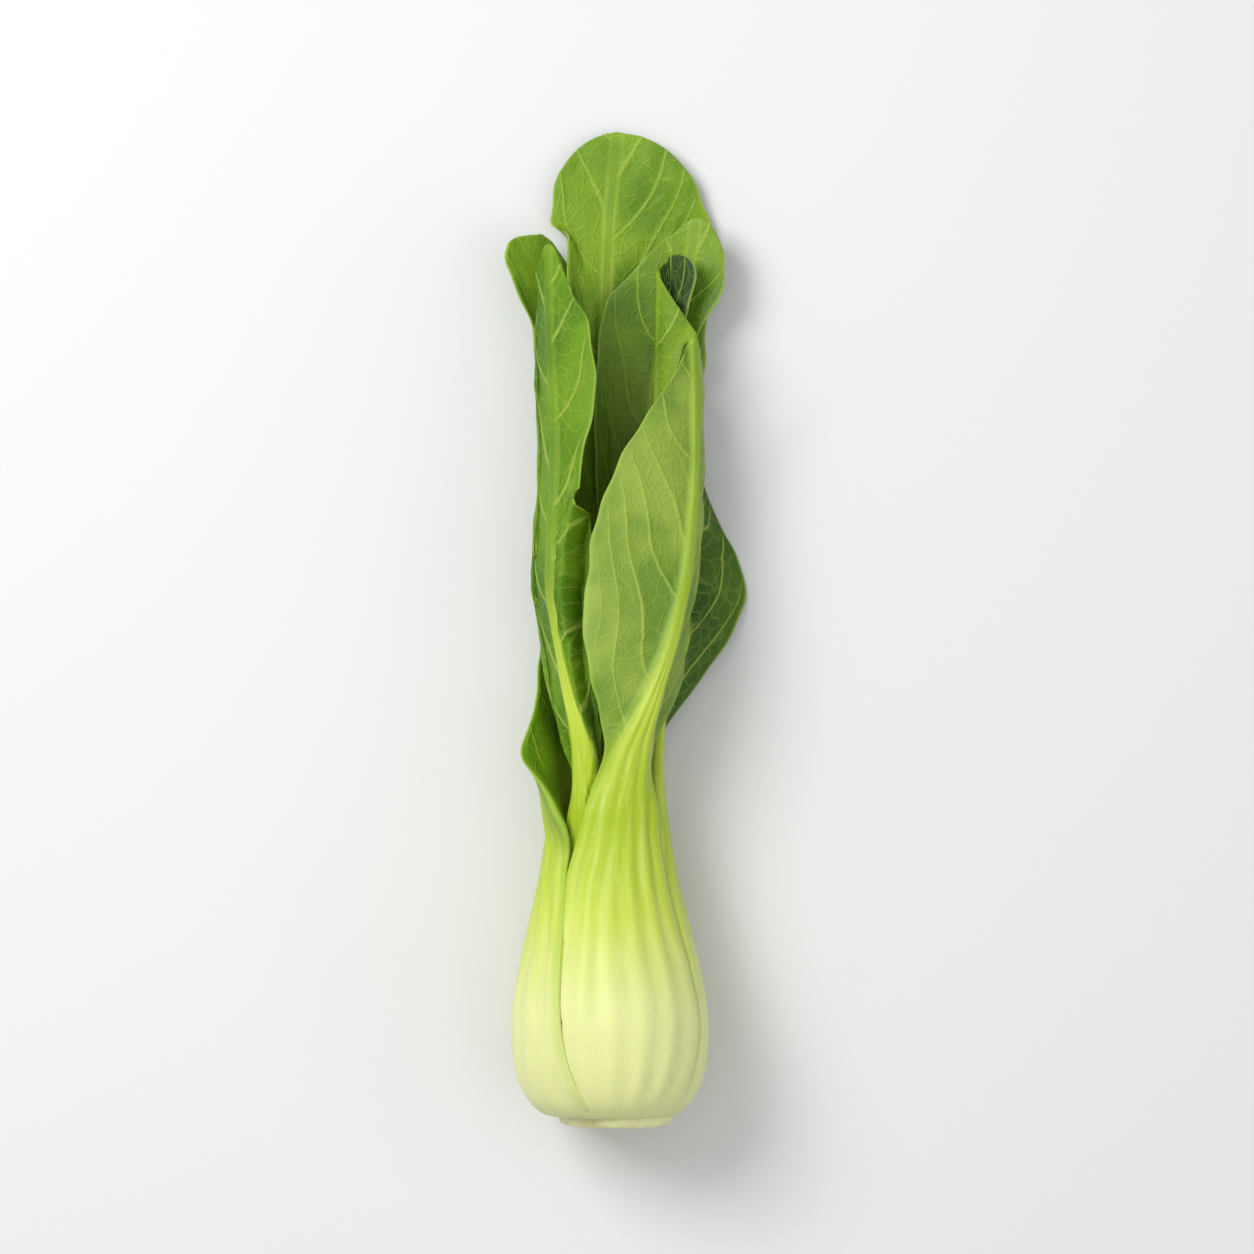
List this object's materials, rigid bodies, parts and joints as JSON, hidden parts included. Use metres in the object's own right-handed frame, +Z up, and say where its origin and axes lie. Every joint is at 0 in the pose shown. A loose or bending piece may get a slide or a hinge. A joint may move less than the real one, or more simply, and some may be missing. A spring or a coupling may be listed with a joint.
{
  "type": "bok choy",
  "caption": "Whole baby bok choy lying on its side, with a pale round bulb of stalks, green leaves and a trimmed stem end.",
  "frame": {"origin": "on the table, under the middle of the flat spot on which the bulb rests", "axes": "+Y from the cut stem to the leaf tips, +Z up, towards the side that the picture shows"},
  "size_m": [0.0417, 0.1765, 0.0344],
  "materials": {
    "stalk": "smooth, waxy, pale cream-green",
    "blade": "green leaf, glossy on the inner side and matte on the back",
    "stem": "matte cut stem, cream to yellow"
  },
  "bodies": {
    "root": {"cut_base": "stem", "left_outer_leaf_stalk": "stalk", "left_outer_leaf_blade": "blade", "front_leaf_stalk": "stalk", "front_leaf_blade": "blade", "right_outer_leaf_stalk": "stalk", "right_outer_leaf_blade": "blade", "back_leaf_stalk": "stalk", "back_leaf_blade": "blade", "left_inner_leaf_stalk": "stalk", "left_inner_leaf_blade": "blade", "right_inner_leaf_stalk": "stalk", "right_inner_leaf_blade": "blade", "rolled_leaf_stalk": "stalk", "rolled_leaf_blade": "blade"}
  },
  "joints": []
}
